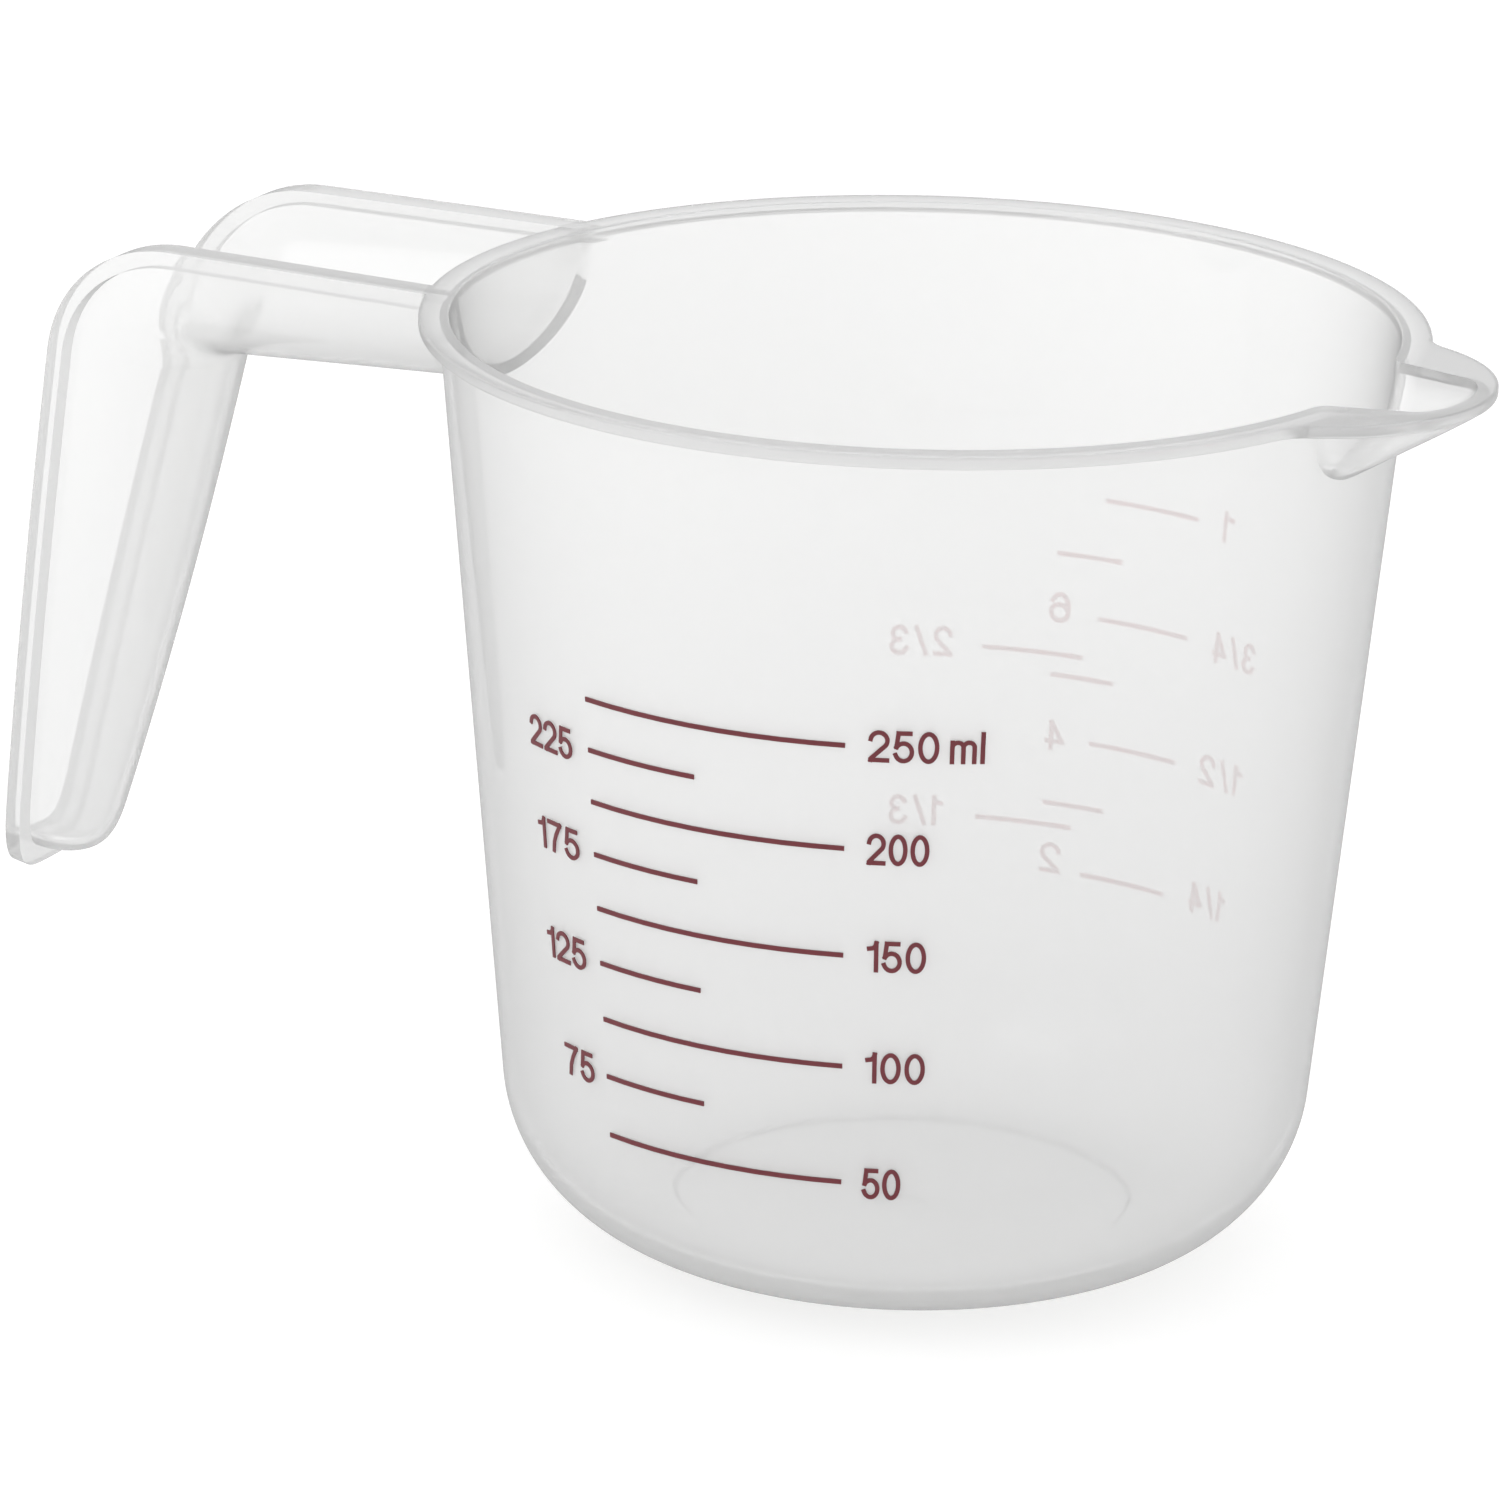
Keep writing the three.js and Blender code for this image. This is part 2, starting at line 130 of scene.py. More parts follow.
def turned(name, profile):
    """A profile of (radius, height) from the axis to the axis, turned round it."""
    rings = profile[1:-1]
    angles = [2 * math.pi * i / SIDES for i in range(SIDES)]
    points = [(r * math.cos(a), r * math.sin(a), z) for r, z in rings for a in angles]
    faces = band_faces(len(rings), SIDES)
    start, end, row = len(points), len(points) + 1, (len(rings) - 1) * SIDES
    points += [(0, 0, profile[0][1]), (0, 0, profile[-1][1])]
    faces += [(start, (i + 1) % SIDES, i) for i in range(SIDES)]
    faces += [(end, row + i, row + (i + 1) % SIDES) for i in range(SIDES)]
    return mesh_object(name, points, faces)


def combine(base, operation, *others):
    """Joins solids to a base or cuts them from it, and removes them."""
    for other in others:
        step = base.modifiers.new(operation, "BOOLEAN")
        step.operation = operation
        step.solver = "MANIFOLD"
        step.object = other
        seen = base.evaluated_get(bpy.context.evaluated_depsgraph_get())
        mesh = bpy.data.meshes.new_from_object(seen)
        base.modifiers.clear()
        base.data = mesh
        bpy.data.objects.remove(other)
    return base


def clean(thing):
    """Merges points that the cuts leave almost together, and removes the slivers between them."""
    mesh = bmesh.new()
    mesh.from_mesh(thing.data)
    bmesh.ops.remove_doubles(mesh, verts=mesh.verts, dist=TOUCHING * MM)
    bmesh.ops.dissolve_degenerate(mesh, edges=mesh.edges, dist=TOUCHING * MM)
    mesh.to_mesh(thing.data)
    mesh.free()


def arc(x, z, radius, start, end, steps=EDGE_STEPS):
    return [(x + radius * math.cos(a), z + radius * math.sin(a)) for a in np.linspace(start, end, steps + 1)]


# Bowl


def wall_radius(z):
    """The radius of the wall's outside at a height."""
    return RIM_RADIUS - RIM_FLANGE - (RIM_HEIGHT - z) * math.tan(DRAFT)


def heel(flat_height, width, height, inset):
    """Part of an ellipse, from a flat base to where it meets the sloping wall."""
    meet = -math.atan(height / width * math.tan(DRAFT))
    centre_z = flat_height + height
    centre_r = wall_radius(centre_z + height * math.sin(meet)) - inset - width * math.cos(meet)
    return [
        (centre_r + width * math.cos(a), centre_z + height * math.sin(a))
        for a in np.linspace(-QUARTER, meet, HEEL_STEPS + 1)
    ]


def wall_points(low, high, inset):
    """Points up the straight wall, so that its shading stays even."""
    return [(wall_radius(z) - inset, z) for z in np.linspace(low, high, WALL_STEPS + 1)]


def bowl_outside():
    """The bowl as a solid piece without its inside."""
    under = RIM_HEIGHT - RIM_THICKNESS
    base = heel(0, HEEL_WIDTH, HEEL_HEIGHT, 0)
    profile = [
        (0, GATE_DEPTH),
        *arc(GATE_RADIUS, GATE_DEPTH, GATE_DEPTH, 0, -QUARTER)[1:],
        *base,
        *wall_points(base[-1][1] + WALL_MARGIN, under - WALL_MARGIN, 0),
        (wall_radius(under), under),
        *arc(RIM_RADIUS - RIM_EDGE, under + RIM_EDGE, RIM_EDGE, -QUARTER, 0),
        *arc(RIM_RADIUS - RIM_TOP_EDGE, RIM_HEIGHT - RIM_TOP_EDGE, RIM_TOP_EDGE, 0, QUARTER),
        (0, RIM_HEIGHT),
    ]
    return turned("bowl_outside", profile)


def bowl_inside():
    """The room inside the bowl, open past the rim."""
    width = wall_radius(HEEL_HEIGHT) - WALL - FLOOR_RADIUS
    inner = heel(FLOOR_THICKNESS, width, HEEL_HEIGHT - FLOOR_THICKNESS, WALL)
    step_radius = inner[0][0] - FLOOR_STEP_MARGIN
    top = RIM_HEIGHT - RIM_TOP_EDGE
    edge = wall_radius(top) - WALL
    profile = [
        (0, FLOOR_THICKNESS - FLOOR_STEP),
        (step_radius - FLOOR_STEP, FLOOR_THICKNESS - FLOOR_STEP),
        (step_radius, FLOOR_THICKNESS),
        *inner,
        *wall_points(inner[-1][1] + WALL_MARGIN, top, WALL),
        *arc(edge + RIM_TOP_EDGE, top, RIM_TOP_EDGE, math.pi, QUARTER)[1:],
        (edge + RIM_TOP_EDGE, RIM_HEIGHT + CUT),
        (0, RIM_HEIGHT + CUT),
    ]
    return turned("bowl_inside", profile)


# Spout

SPOUT_START = wall_radius(RIM_HEIGHT) - WALL - CUT
LIP_TIP = RIM_RADIUS + SPOUT_OVERHANG


def lip_outline(inset):
    """The lip's outline from above, from inside the bowl round the tip and back, with its edge moved in."""
    centre = LIP_TIP - SPOUT_LIP_RADIUS
    # The fillet's middle lies its radius outside the rim's circle and the lip's.
    from_rim, from_lip = RIM_RADIUS - LIP_SINK + LIP_FILLET, SPOUT_LIP_RADIUS + LIP_FILLET
    x = (from_rim**2 - from_lip**2 + centre**2) / (2 * centre)
    y = math.sqrt(from_rim**2 - x**2)
    at_rim = math.atan2(-y, -x) % (2 * math.pi)
    at_lip = math.atan2(-y, centre - x) % (2 * math.pi)
    fillet = arc(x, y, LIP_FILLET + inset, at_rim, at_lip, FILLET_STEPS)
    start = math.atan2(y, x - centre)
    round_part = arc(centre, 0, SPOUT_LIP_RADIUS - inset, start, -start, LIP_STEPS)
    side = [(SPOUT_START, fillet[0][1]), *fillet]
    return [*side, *round_part[1:-1], *[(along, -out) for along, out in side[::-1]]]


def hollow_stations(outset):
    """(distance from the axis, half width) of the hollow, or of a surface that lies outset outside it."""
    flare_start = wall_radius(RIM_HEIGHT) - FLARE_START
    straight_end = LIP_TIP - HOLLOW_SETBACK - HOLLOW_END

    def half_at(x):
        flare = min(max((flare_start - x) / FLARE_LENGTH, 0.0), 1.0)
        taper = (x - wall_radius(RIM_HEIGHT)) * HOLLOW_TAPER
        return HOLLOW_HALF_WIDTH - taper + HOLLOW_FLARE * flare**2 + outset

    places = [
        SPOUT_START,
        *np.linspace(flare_start - FLARE_LENGTH, flare_start, FLARE_STEPS + 1),
        *np.linspace(flare_start, straight_end, HOLLOW_STEPS + 1)[1:],
    ]
    last_half = half_at(straight_end)
    end = [
        (straight_end + (HOLLOW_END + outset) * math.sin(a), last_half * max(math.cos(a), HOLLOW_LAST_WIDTH))
        for a in np.linspace(0, QUARTER, HOLLOW_END_STEPS + 1)[1:]
    ]
    return [(x, half_at(x)) for x in places] + end


def keel_height(x):
    """How high the scoop's lowest line lies at a distance from the axis."""
    foot = wall_radius(RIM_HEIGHT - SPOUT_DEPTH)
    return RIM_HEIGHT - SPOUT_DEPTH + max(0.0, x - foot) * KEEL_SLOPE


def spout_bar(name, stations, top, underside):
    """A bar along the spout with a flat top, whose underside is a rule of (distance, how far it hangs)."""
    power = 2 / SPOUT_SQUARENESS
    loops = []
    for x, half in stations:
        upper, lower = [], []
        for a in np.linspace(-QUARTER, QUARTER, SECTION_STEPS + 1):
            side = -math.copysign(abs(math.sin(a)) ** power, a)
            hang = max(math.cos(a), 0.0) ** power
            upper.append((x, half * side, top))
            lower.append((x, half * side, underside(x, hang)))
        loops.append(upper + lower[::-1])
    return bar(name, loops)


def spout_lip():
    """A flat plate whose edges are rounded as the rim's are."""
    edge = [
        *arc(-RIM_EDGE, RIM_HEIGHT - RIM_THICKNESS + RIM_EDGE, RIM_EDGE, -QUARTER, 0),
        *arc(-RIM_TOP_EDGE, RIM_HEIGHT - RIM_TOP_EDGE, RIM_TOP_EDGE, 0, QUARTER),
    ]
    return bar("spout_lip", [[(x, y, z) for x, y in lip_outline(-out)] for out, z in edge])


def spout_scoop():
    """The outside of the scoop under the lip."""
    root_top, root_bottom = RIM_HEIGHT - RIM_THICKNESS / 2, RIM_HEIGHT - RIM_THICKNESS * SCOOP_ROOT
    return spout_bar(
        "spout_scoop",
        hollow_stations(SPOUT_WALL),
        root_top,
        lambda x, hang: root_bottom + (keel_height(x) - root_bottom) * hang,
    )


def spout_hollow():
    """The room inside the scoop, open past the rim."""
    return spout_bar(
        "spout_hollow",
        hollow_stations(0),
        RIM_HEIGHT + CUT,
        lambda x, hang: RIM_HEIGHT + (keel_height(x) + SPOUT_WALL - RIM_HEIGHT) * hang,
    )


# Handle, laid out in the upright plane through the cup's axis as (x, height)


def rail(start, corner, end, radius, bow):
    """Points of a level stretch, a bend and a leg, as a rule of (stretch, share), and their lengths."""
    start, corner, end = (np.array(p, float) for p in (start, corner, end))
    back = (start - corner) / np.linalg.norm(start - corner)
    on = (end - corner) / np.linalg.norm(end - corner)
    half = math.acos(back @ on) / 2
    setback = radius / math.tan(half)
    bend_start, bend_end = corner + back * setback, corner + on * setback
    middle = (back + on) / np.linalg.norm(back + on)
    centre = corner + middle * radius / math.sin(half)
    angle = [math.atan2(*(p - centre)[::-1]) % (2 * math.pi) for p in (bend_start, bend_end)]
    inwards = np.array([-on[1], on[0]])
    tip = end + inwards * bow
    knee = (bend_end + end) / 2

    def at(stretch, t):
        if stretch == 0:
            return start + (bend_start - start) * t
        if stretch == 1:
            a = angle[0] + (angle[1] - angle[0]) * t
            return centre + radius * np.array([math.cos(a), math.sin(a)])
        return bend_end * (1 - t) ** 2 + knee * 2 * t * (1 - t) + tip * t * t

    lengths = []
    for stretch in range(3):
        points = np.array([at(stretch, t) for t in np.linspace(0, 1, LENGTH_STEPS + 1)])
        lengths.append(float(np.linalg.norm(np.diff(points, axis=0), axis=1).sum()))
    return at, lengths


GRIP_START = -(wall_radius(RIM_HEIGHT) - CUT)
grip_corner = np.array([-(RIM_RADIUS + GRIP_CORNER_REACH), RIM_HEIGHT])
leg_direction = np.array([-math.sin(GRIP_LEAN), -math.cos(GRIP_LEAN)])
grip_tip = grip_corner + leg_direction * GRIP_DROP / math.cos(GRIP_LEAN)
towards_cup = np.array([-leg_direction[1], leg_direction[0]])
grip_back, rail_lengths = rail((GRIP_START, RIM_HEIGHT), grip_corner, grip_tip, GRIP_BEND_RADIUS, GRIP_BOW)
grip_keel, _ = rail(
    (GRIP_START, RIM_HEIGHT - CHANNEL_DEPTH_AT_RIM),
    (-(RIM_RADIUS + THROAT_REACH), RIM_HEIGHT - THROAT_DROP),
    grip_tip + towards_cup * (CHANNEL_DEPTH_AT_TIP + KEEL_BOW),
    THROAT_RADIUS,
    -KEEL_BOW,
)
taper_start = rail_lengths[0] + rail_lengths[1] / 2
grip_length = sum(rail_lengths)


def grip_half_width(distance):
    """Half of the flange's width at a distance along the handle's back."""
    return float(
        np.interp(
            distance,
            [0, taper_start, grip_length],
            [GRIP_HALF_WIDTH_AT_RIM, GRIP_HALF_WIDTH_AT_BEND, GRIP_HALF_WIDTH_AT_TIP],
        )
    )


def grip_stations(inset):
    """(back, direction inwards, depth, half width, how far round the end) along the handle."""
    round_start = 1 - GRIP_ROUND_END / rail_lengths[2]
    round_end = 1 - inset / rail_lengths[2]
    places = [(0, t, 1.0) for t in np.linspace(0, 1, LEVEL_STEPS + 1)]
    places += [(1, t, 1.0) for t in np.linspace(0, 1, BEND_STEPS + 1)[1:]]
    places += [(2, t * round_start, 1.0) for t in np.linspace(0, 1, LEG_STEPS + 1)[1:]]
    power = 2 / GRIP_END_SQUARENESS
    for turn in np.linspace(0, QUARTER * GRIP_LAST_TURN, GRIP_END_STEPS + 1)[1:]:
        place = round_start + (round_end - round_start) * math.sin(turn) ** power
        places.append((2, place, math.cos(turn) ** power))
    out = []
    for stretch, t, round_part in places:
        back = grip_back(stretch, t)
        keel = grip_keel(stretch, t) - back
        depth = float(np.linalg.norm(keel))
        distance = sum(rail_lengths[:stretch]) + t * rail_lengths[stretch]
        half = (grip_half_width(distance) - inset) * round_part
        out.append((back, keel / depth, depth, half, round_part))
    return out


def grip_bar(name, inset, top, bottom):
    """A bar along the handle, from a depth to a rule of (depth, how far round the end, how far it hangs)."""
    loops = []
    for back, inwards, depth, half, round_part in grip_stations(inset):
        upper, lower = [], []
        for a in np.linspace(-QUARTER, QUARTER, SECTION_STEPS + 1):
            y = half * math.sin(a)
            high = back + inwards * top
            low = back + inwards * bottom(depth, round_part, max(math.cos(a), 0.0))
            upper.append((high[0], y, high[1]))
            lower.append((low[0], y, low[1]))
        loops.append(upper + lower[::-1])
    return bar(name, loops)


def grip():
    """The handle: a flange and the channel under it, less the channel's hollow."""
    root_top, root_bottom = GRIP_FLANGE_THICKNESS / 2, GRIP_FLANGE_THICKNESS * CHANNEL_ROOT
    flange = grip_bar("grip", 0, 0.0, lambda depth, part, hang: GRIP_FLANGE_THICKNESS)
    channel = grip_bar(
        "grip_channel",
        GRIP_LIP,
        root_top,
        lambda depth, part, hang: root_bottom + max(depth * part - root_bottom, 0.0) * hang,
    )
    trough = grip_bar(
        "grip_trough",
        GRIP_LIP + CHANNEL_WALL,
        -CUT / 2,
        lambda depth, part, hang: (depth - CHANNEL_WALL) * part * hang,
    )
    return combine(combine(flange, "UNION", channel), "DIFFERENCE", trough)


# Materials

RING_BLEND = 1.6  # millimetres over which the rim's painted shade fades in, outwards and upwards
RIM_FADE_START, RIM_FADE_END = 0.1, 0.3  # millimetres outside the rim's edge, on the handle's side, where the painted shade fades out
RIM_SHADE_BELOW_RIM = 0.35  # share of the rim's painted shade that is left under the rim
HAZE_POWER, HAZE_SHARE = 3, 0.88  # how late the haze sets in as the surface turns away, and its most; the haze is a dark grey that paints shade on those edges


def new_material(name):
    material = bpy.data.materials.new(name)
    material.use_nodes = True
    nodes, links = material.node_tree.nodes, material.node_tree.links
    return material, nodes, links, nodes["Principled BSDF"], nodes["Material Output"]


def ramp(nodes, links, source, start, end, low=0.0):
    """A share that goes from low to 1 between two sizes in millimetres."""
    node = nodes.new("ShaderNodeMapRange")
    node.inputs["From Min"].default_value = start * MM
    node.inputs["From Max"].default_value = end * MM
    node.inputs["To Min"].default_value = low
    links.new(source, node.inputs["Value"])
    return node.outputs["Result"]


def reckoned(nodes, links, operation, *terms):
    """A sum of two terms, each the output of a node or a number."""
    node = nodes.new("ShaderNodeMath")
    node.operation = operation
    for place, term in zip(node.inputs, terms):
        if isinstance(term, bpy.types.NodeSocket):
            links.new(term, place)
        else:
            place.default_value = term
    return node.outputs["Value"]


def rim_shade_share(nodes, links, place, parts):
    """How much painted shade a point gets on the rim's flange and the spout, which are thicker than the wall:
    a darker grey for the shade along the flange's side and under it.
    """
    outwards = nodes.new("ShaderNodeVectorMath")
    outwards.operation = "MULTIPLY"
    outwards.inputs[1].default_value = (1, 1, 0)
    links.new(place, outwards.inputs[0])
    distance = nodes.new("ShaderNodeVectorMath")
    distance.operation = "LENGTH"
    links.new(outwards.outputs["Vector"], distance.inputs[0])
    radius = distance.outputs["Value"]
    # On the handle's side the ring of painted shade ends at the rim's edge, and on the spout's side it takes
    # in the lip.
    ring_start = RIM_RADIUS - RIM_FLANGE
    ring = ramp(nodes, links, radius, ring_start, ring_start + RING_BLEND)
    rim_side = ramp(nodes, links, radius, RIM_RADIUS + RIM_FADE_END, RIM_RADIUS + RIM_FADE_START)
    spout_side = ramp(nodes, links, parts.outputs["X"], -SPOUT_LIP_RADIUS, SPOUT_LIP_RADIUS)
    thick = reckoned(nodes, links, "MULTIPLY", ring, reckoned(nodes, links, "MAXIMUM", rim_side, spout_side))
    under = RIM_HEIGHT - RIM_THICKNESS
    # Under the rim's underside a part of the painted shade stays, for the shade under the flange.
    flange = ramp(nodes, links, parts.outputs["Z"], under - RING_BLEND, under, RIM_SHADE_BELOW_RIM)
    return reckoned(nodes, links, "MULTIPLY", thick, flange)


def painted_plastic_shade(nodes, links, place):
    """The plastic's colour with painted shade: a grey that darkens from the rim down to the base, and a
    darker grey painted on the rim's flange and the spout for the shade along their sides and under them.
    """
    parts = nodes.new("ShaderNodeSeparateXYZ")
    links.new(place, parts.inputs["Vector"])
    # Painted shade: the grey darkens from the rim's height down to the base.
    height_shade = nodes.new("ShaderNodeValToRGB")
    height_shade.color_ramp.elements[0].color = (0.885, 0.885, 0.885, 1)
    height_shade.color_ramp.elements[1].color = (0.995, 0.995, 0.993, 1)
    links.new(ramp(nodes, links, parts.outputs["Z"], 0, RIM_HEIGHT), height_shade.inputs["Fac"])
    shaded_tone = nodes.new("ShaderNodeMix")
    shaded_tone.data_type = "RGBA"
    links.new(rim_shade_share(nodes, links, place, parts), shaded_tone.inputs["Factor"])
    links.new(height_shade.outputs["Color"], shaded_tone.inputs["A"])
    # Painted shade: a darker grey on the rim's flange and the spout, for the shade along the flange's side
    # and under it.
    shaded_tone.inputs["B"].default_value = (0.80, 0.80, 0.80, 1)
    return shaded_tone.outputs["Result"]


def mould_texture(nodes, links, place):
    """The faint unevenness of a moulded surface."""
    grain = nodes.new("ShaderNodeTexNoise")
    grain.inputs["Scale"].default_value = 420
    grain.inputs["Detail"].default_value = 3
    links.new(place, grain.inputs["Vector"])
    bump = nodes.new("ShaderNodeBump")
    bump.inputs["Strength"].default_value = 0.006
    bump.inputs["Distance"].default_value = 0.0002
    links.new(grain.outputs["Fac"], bump.inputs["Height"])
    return bump.outputs["Normal"]


def hazed_and_edge_shaded(nodes, links, surface):
    """A surface that turns milky at a slant, where light crosses more of the plastic; the milky lobe is a
    dark grey, so it also paints shade on the edges that turn away.
    """
    slant = nodes.new("ShaderNodeLayerWeight")
    slant.inputs["Blend"].default_value = 0.5
    rising = reckoned(nodes, links, "POWER", slant.outputs["Facing"], HAZE_POWER)
    grey_edge_shade = nodes.new("ShaderNodeBsdfDiffuse")
    # Painted shade: this grey is much darker than the plastic, to darken the slanted edges.
    grey_edge_shade.inputs["Color"].default_value = (0.38, 0.38, 0.38, 1)
    milky = nodes.new("ShaderNodeMixShader")
    links.new(reckoned(nodes, links, "MULTIPLY", rising, HAZE_SHARE), milky.inputs["Fac"])
    links.new(surface, milky.inputs[1])
    links.new(grey_edge_shade.outputs["BSDF"], milky.inputs[2])
    return milky.outputs["Shader"]


def letting_light_through(nodes, links, surface):
    """A surface whose thin walls let light reach the floor."""
    path = nodes.new("ShaderNodeLightPath")
    clear = nodes.new("ShaderNodeBsdfTransparent")
    clear.inputs["Color"].default_value = (0.955, 0.955, 0.953, 1)
    for ray in ("Is Diffuse Ray", "Is Shadow Ray"):
        choice = nodes.new("ShaderNodeMixShader")
        links.new(path.outputs[ray], choice.inputs["Fac"])
        links.new(surface, choice.inputs[1])
        links.new(clear.outputs["BSDF"], choice.inputs[2])
        surface = choice.outputs["Shader"]
    return surface


def moulding_material():
    """Natural polypropylene: clear enough to see through, milky, with a faint mould texture, and with painted
    shade in its colour and on its slanted edges.
    """
    material, nodes, links, shader, output = new_material("moulding")
    shader.inputs["Roughness"].default_value = 0.02
    shader.inputs["IOR"].default_value = 1.45
    shader.inputs["Transmission Weight"].default_value = 0.68
    place = nodes.new("ShaderNodeTexCoord").outputs["Object"]
    links.new(painted_plastic_shade(nodes, links, place), shader.inputs["Base Color"])
    links.new(mould_texture(nodes, links, place), shader.inputs["Normal"])
    inside = nodes.new("ShaderNodeVolumeAbsorption")
    inside.inputs["Color"].default_value = (0.5, 0.502, 0.497, 1)
    inside.inputs["Density"].default_value = 66
    links.new(inside.outputs["Volume"], output.inputs["Volume"])
    surface = letting_light_through(nodes, links, hazed_and_edge_shaded(nodes, links, shader.outputs["BSDF"]))
    links.new(surface, output.inputs["Surface"])
    return material


def ink_material(name, dark, light):
    """Screen-printed ink, a little uneven."""
    material, nodes, links, shader, _ = new_material(name)
    place = nodes.new("ShaderNodeTexCoord")
    grain = nodes.new("ShaderNodeTexNoise")
    grain.inputs["Scale"].default_value = 900
    links.new(place.outputs["Object"], grain.inputs["Vector"])
    tone = nodes.new("ShaderNodeValToRGB")
    tone.color_ramp.elements[0].color = (*dark, 1)
    tone.color_ramp.elements[1].color = (*light, 1)
    links.new(grain.outputs["Fac"], tone.inputs["Fac"])
    links.new(tone.outputs["Color"], shader.inputs["Base Color"])
    shader.inputs["Roughness"].default_value = 0.5
    return material


# Numerals, drawn as strokes of one width. x runs from 0, and y from 0 at the foot to 1 at the top

GLYPH_WIDTH = 0.54
GLYPH_GAP = 0.27  # between the middles of neighbouring strokes
SPACE_WIDTH, SLASH_MARGIN = 0.22, 0.10
LABEL_HEIGHT, STROKE_WIDTH, BACK_STROKE_WIDTH = 3.0, 0.40, 0.46
LABEL_LIFT, LABEL_THICKNESS = 0.06, 0.1
STROKE_LIFT = 0.004  # keeps crossing strokes apart
LABEL_STEP = 0.4  # longest piece of a stroke
BOW_STEPS, RING_STEPS = 20, 36


def bow(x, y, width, height, start, end, steps=BOW_STEPS):
    """Part of an ellipse, in degrees anticlockwise from the right."""
    return [
        (x + width * math.cos(math.radians(a)), y + height * math.sin(math.radians(a)))
        for a in np.linspace(start, end, steps + 1)
    ]


HALF = GLYPH_WIDTH / 2
GLYPHS = {
    "0": [bow(HALF, 0.5, HALF, 0.5, 90, 450, RING_STEPS)],
    "1": [[(0.34, 0), (0.34, 1)], [(0.34, 1), (0.30, 0.88), (0.22, 0.81), (0.10, 0.79)]],
    "2": [[*bow(HALF, 0.71, HALF, 0.29, 172, -38), (0.02, 0.06), (0, 0)], [(0, 0), (GLYPH_WIDTH, 0)]],
    "3": [bow(HALF, 0.76, HALF * 0.9, 0.24, 165, -90), bow(HALF, 0.26, HALF, 0.26, 90, -165)],
    "4": [[(0.40, 0), (0.40, 1)], [(0.40, 1), (0, 0.27)], [(0, 0.27), (GLYPH_WIDTH, 0.27)]],
    "5": [[(0.48, 1), (0.10, 1)], [(0.10, 1), (0.04, 0.50)], bow(HALF, 0.32, HALF, 0.32, 145, -160)],
    "6": [
        bow(HALF, 0.31, HALF, 0.31, 90, 450, RING_STEPS),
        [*bow(HALF, 0.54, HALF, 0.46, 30, 180), (0, 0.31)],
    ],
    "7": [[(0, 1), (GLYPH_WIDTH, 1)], [(GLYPH_WIDTH, 1), (0.34, 0.62), (0.23, 0.32), (0.19, 0)]],
    "/": [[(0, 0), (0.34, 1)]],
    "l": [[(0, 0), (0, 1)]],
    "m": [
        [(0, 0), (0, 0.70)],
        [*bow(0.18, 0.52, 0.18, 0.18, 180, 0), (0.36, 0)],
        [*bow(0.54, 0.52, 0.18, 0.18, 180, 0), (0.72, 0)],
    ],
}
# text, angle of its left end, angle of its right end, height of its middle; front angles are negative
LABELS = [
    ("250 ml", -70.2, -56.2, 59.7),
    ("225", -120.8, -112.0, 54.6),
    ("200", -70.2, -62.5, 49.9),
    ("175", -120.5, -111.8, 44.9),
    ("150", -70.0, -62.5, 39.6),
    ("125", -120.2, -111.8, 34.3),
    ("100", -70.0, -62.2, 28.8),
    ("75", -117.8, -111.5, 23.3),
    ("50", -70.2, -65.0, 17.4),
    ("1", 68.6, 70.5, 59.7),
    ("3/4", 61.6, 70.3, 48.0),
    ("1/2", 61.6, 70.4, 36.0),
    ("1/4", 62.2, 70.0, 23.4),
    ("6", 93.7, 96.8, 48.6),
    ("4", 93.4, 96.3, 36.0),
    ("2", 92.8, 96.0, 23.9),
    ("2/3", 110.2, 119.0, 44.3),
    ("1/3", 110.8, 118.7, 27.5),
]


def text_strokes(text):
    """All strokes of a line of text."""
    strokes, x = [], 0.0
    for letter in text:
        if letter == " ":
            x += SPACE_WIDTH
            continue
        glyph = [np.array(stroke, float) for stroke in GLYPHS[letter]]
        margin = SLASH_MARGIN if letter == "/" else 0
        start = min(stroke[:, 0].min() for stroke in glyph)
        end = max(stroke[:, 0].max() for stroke in glyph)
        strokes += [stroke + [x + margin - start, 0] for stroke in glyph]
        x += end - start + GLYPH_GAP + margin * 2
    return strokes


def stroke_edges(points, width):
    """The two edges of a stroke, with square ends, from points along its middle."""
    steps = [points[:1]]
    for here, there in zip(points[:-1], points[1:]):
        count = max(1, math.ceil(np.linalg.norm(there - here) / LABEL_STEP))
        steps.append(np.linspace(here, there, count + 1)[1:])
    points = np.concatenate(steps)
    closed = np.allclose(points[0], points[-1])
    along = np.gradient(points, axis=0)
    if closed:
        along[0] = along[-1] = points[1] - points[-2]
    along /= np.linalg.norm(along, axis=1)[:, None]
    if not closed:
        points[0] -= along[0] * width / 2
        points[-1] += along[-1] * width / 2
    across = np.stack([-along[:, 1], along[:, 0]], -1) * width / 2
    return points + across, points - across


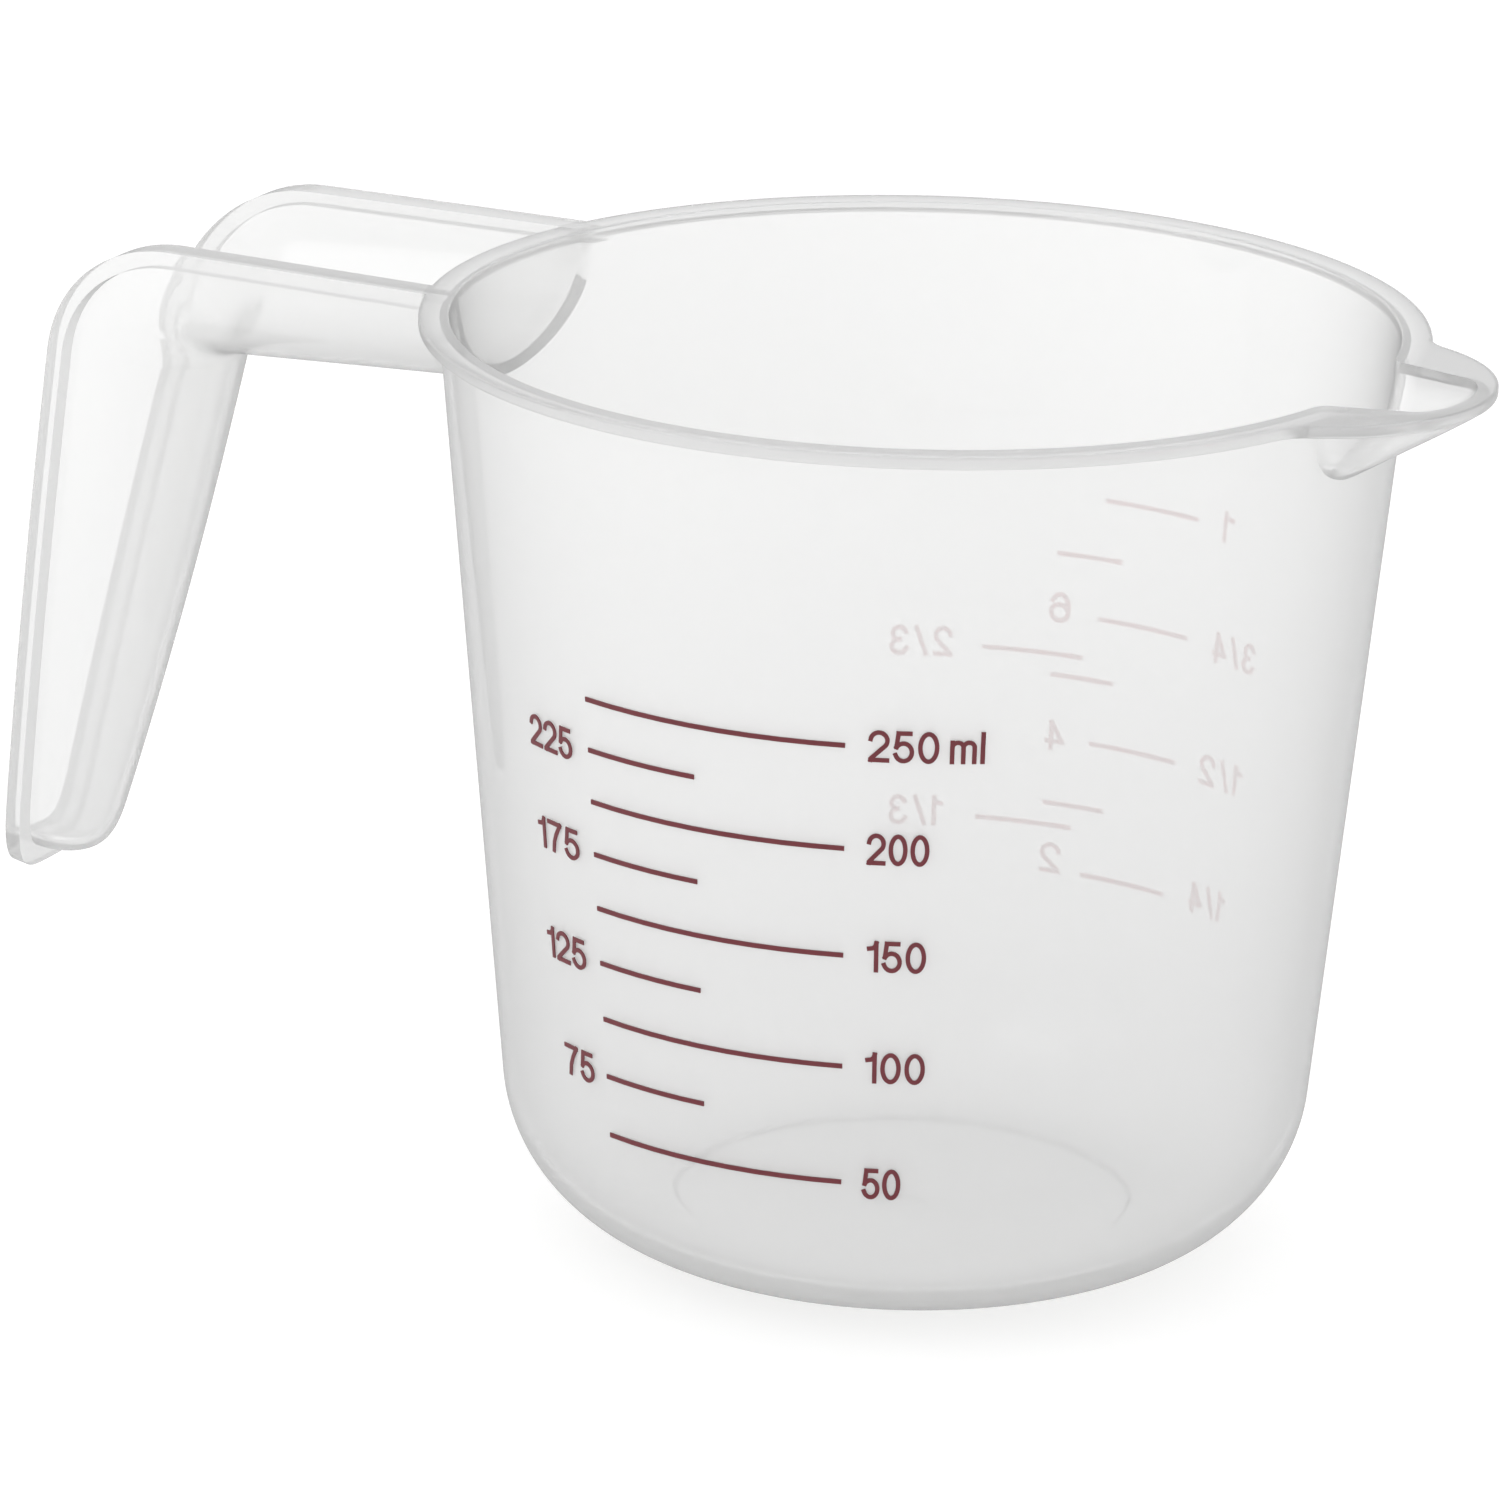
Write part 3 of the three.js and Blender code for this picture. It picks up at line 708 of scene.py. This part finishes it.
def label(number, text, left, right, height):
    """A text bent round the wall, between two angles in degrees."""
    strokes = text_strokes(text)
    width = max(stroke[:, 0].max() for stroke in strokes)
    stroke_width = STROKE_WIDTH if left < 0 else BACK_STROKE_WIDTH
    low, span = wall_radius(height) * math.radians(left) + stroke_width / 2, LABEL_HEIGHT - stroke_width
    wide = wall_radius(height) * math.radians(right - left) - stroke_width
    points, faces = [], []
    for lift, stroke in enumerate(strokes):
        # A text of one upright stroke keeps that stroke in the middle.
        across = stroke[:, 0] / width if width else np.full(len(stroke), 0.5)
        middle = np.stack([low + wide * across, height + (stroke[:, 1] - 0.5) * span], -1)
        first = len(points)
        for pair in zip(*stroke_edges(middle, stroke_width)):
            for s, z in pair:
                radius = wall_radius(z) + LABEL_LIFT + LABEL_THICKNESS + lift * STROKE_LIFT
                angle = s / wall_radius(height)
                points.append((radius * math.cos(angle) * MM, radius * math.sin(angle) * MM, z * MM))
        faces += [(i, i + 1, i + 3, i + 2) for i in range(first, len(points) - 2, 2)]
    mesh = bpy.data.meshes.new("label")
    mesh.from_pydata(points, [], faces)
    thing = link(bpy.data.objects.new(f"label_{number:02d}", mesh))
    skin = thing.modifiers.new("thickness", "SOLIDIFY")
    skin.thickness = LABEL_THICKNESS * MM
    skin.offset = 0
    return thing


# Assembly

cup = combine(bowl_outside(), "UNION", spout_lip(), spout_scoop(), grip())
cup = combine(cup, "DIFFERENCE", bowl_inside(), spout_hollow())
cup.name = "cup"
clean(cup)
cup.data.materials.clear()
cup.data.materials.append(moulding_material())
cup.data.polygons.foreach_set("use_smooth", [True] * len(cup.data.polygons))
cup.data.set_sharp_from_angle(angle=SMOOTH_BELOW)
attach(cup, "root")
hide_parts("bowl", "spout", "handle")

front_ink = ink_material("ink", (0.12, 0.011, 0.018), (0.17, 0.016, 0.025))
back_ink = ink_material("ink_back", (0.48, 0.004, 0.018), (0.58, 0.007, 0.030))
for name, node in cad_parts.items():
    if name.startswith("line_"):
        node.data.materials.clear()
        node.data.materials.append(front_ink if name.endswith("_ml") else back_ink)

for number, (text, left, right, height) in enumerate(LABELS):
    thing = label(number, text, left, right, height)
    thing.data.materials.append(front_ink if left < 0 else back_ink)
    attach(thing, "root")

# Floor and light

FLOOR_HALF, FLOOR_DROP = 3.0, 0.0001  # in metres; the floor lies just under the cup's base
VIEW_TURN = math.radians(26.4)  # of the cup round its axis, from facing the camera sideways


def pale_floor():
    corners = ((-1, -1), (1, -1), (1, 1), (-1, 1))
    points = [(x * FLOOR_HALF, y * FLOOR_HALF, -FLOOR_DROP) for x, y in corners]
    mesh = bpy.data.meshes.new("floor")
    mesh.from_pydata(points, [], [(0, 1, 2, 3)])
    paper, _, _, shader, _ = new_material("paper")
    shader.inputs["Base Color"].default_value = (0.9, 0.9, 0.9, 1)
    shader.inputs["Roughness"].default_value = 0.9
    shader.inputs["Specular IOR Level"].default_value = 0.0
    shader.inputs["Emission Color"].default_value = (1, 1, 1, 1)
    shader.inputs["Emission Strength"].default_value = 0.22
    mesh.materials.append(paper)
    return link(bpy.data.objects.new("floor", mesh))


def studio():
    """A world that is bright above and behind the cup, and dimmer on the photograph's side."""
    world = bpy.data.worlds.new("studio")
    bpy.context.scene.world = world
    world.use_nodes = True
    nodes, links = world.node_tree.nodes, world.node_tree.links
    place = nodes.new("ShaderNodeTexCoord")
    side = nodes.new("ShaderNodeVectorMath")
    side.operation = "DOT_PRODUCT"
    side.inputs[1].default_value = (math.sin(VIEW_TURN), -math.cos(VIEW_TURN), 0)
    links.new(place.outputs["Generated"], side.inputs[0])
    dimming = nodes.new("ShaderNodeMapRange")
    dimming.interpolation_type = "SMOOTHSTEP"
    dimming.inputs["From Min"].default_value = -1.2
    dimming.inputs["From Max"].default_value = 1.1
    dimming.inputs["To Min"].default_value = 1.2
    dimming.inputs["To Max"].default_value = 0.68
    links.new(side.outputs["Value"], dimming.inputs["Value"])
    links.new(dimming.outputs["Result"], nodes["Background"].inputs["Strength"])
    nodes["Background"].inputs["Color"].default_value = (1, 1, 1, 1)


def soft_light(name, place, aim, size, power):
    """A round lamp at a place, turned to a point, both in metres."""
    lamp = bpy.data.lights.new(name, "AREA")
    lamp.shape = "DISK"
    lamp.size = size
    lamp.energy = power
    thing = link(bpy.data.objects.new(name, lamp))
    thing.location = place
    thing.rotation_mode = "QUATERNION"
    thing.rotation_quaternion = (Vector(aim) - Vector(place)).to_track_quat("-Z", "Y")


pale_floor()
studio()
soft_light("key", (-0.9, -1.2, 1.6), (0, 0, 0.04), 1.4, 6)

# Camera

VIEW_PITCH = math.radians(17.908)
VIEW_ROLL = math.radians(1.1647)
VIEW_ORIGIN = (14.254, -43.721, 797.86)  # the cup's origin right, up and ahead of the camera, in millimetres
FOCAL_PIXELS, PICTURE_PIXELS, SENSOR = 8474.11, 1500, 36.0


def turned_back(v):
    """A direction of the level camera's frame in the cup's frame."""
    c, s = math.cos(VIEW_TURN), math.sin(VIEW_TURN)
    return Vector((c * v[0] - s * v[1], s * v[0] + c * v[1], v[2]))


def place_camera():
    right = np.array([1.0, 0.0, 0.0])
    back = np.array([0.0, -math.cos(VIEW_PITCH), math.sin(VIEW_PITCH)])
    up = np.cross(back, right)
    c, s = math.cos(VIEW_ROLL), math.sin(VIEW_ROLL)
    right, up = c * right + s * up, -s * right + c * up
    away, high, ahead = VIEW_ORIGIN
    eye = (-away * right - high * up + ahead * back) * MM
    columns = [turned_back(v) for v in (right, up, back, eye)]
    lens = bpy.data.cameras.new("camera")
    lens.sensor_width = SENSOR
    lens.lens = SENSOR * FOCAL_PIXELS / PICTURE_PIXELS
    camera = link(bpy.data.objects.new("camera", lens))
    camera.matrix_world = Matrix([[column[row] for column in columns] for row in range(3)] + [[0, 0, 0, 1]])
    bpy.context.scene.camera = camera


place_camera()
bpy.context.scene.view_settings.view_transform = "Standard"
